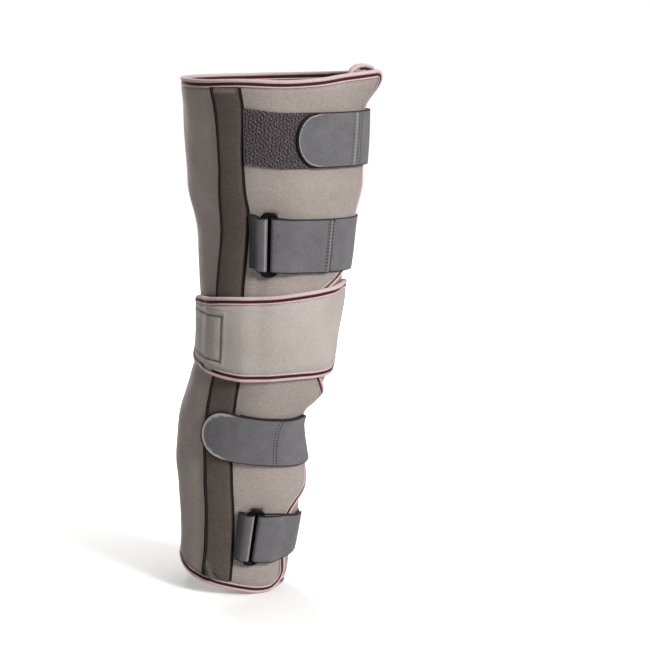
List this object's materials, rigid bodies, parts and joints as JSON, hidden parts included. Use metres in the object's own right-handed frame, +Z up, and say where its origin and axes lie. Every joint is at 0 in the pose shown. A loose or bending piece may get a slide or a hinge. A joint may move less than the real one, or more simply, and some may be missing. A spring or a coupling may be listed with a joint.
{
  "type": "knee immobilizer",
  "caption": "Foam panel wrapped round a slightly bent leg from thigh to shin, with a stay pocket, straps folded through rings and a wide knee band, bound in tape.",
  "frame": {"origin": "centre of the knee, inside the hollow that holds the leg", "axes": "+Z up the leg towards the thigh's rim, -Y to the front of the leg, +X to the inner side of a right leg"},
  "size_m": [0.1941, 0.177, 0.5043],
  "materials": {
    "panel_cloth": "matt brushed loop cloth over foam",
    "binding_tape": "matt woven tape",
    "pocket_cloth": "matt knitted loop cloth",
    "band_cloth": "matt brushed loop cloth over foam",
    "strap_webbing": "matt woven webbing",
    "ring_plastic": "satin moulded plastic"
  },
  "bodies": {
    "root": {"wrap_panel": "panel_cloth", "panel_binding": "binding_tape", "stay_pocket": "pocket_cloth", "knee_band": "band_cloth", "band_binding": "binding_tape", "strap_1": "strap_webbing", "ring_1": "ring_plastic", "tab_1": "strap_webbing", "strap_2": "strap_webbing", "ring_2": "ring_plastic", "tab_2": "strap_webbing", "strap_3": "strap_webbing", "ring_3": "ring_plastic", "tab_3": "strap_webbing", "strap_4": "strap_webbing", "ring_4": "ring_plastic", "tab_4": "strap_webbing"}
  },
  "joints": []
}
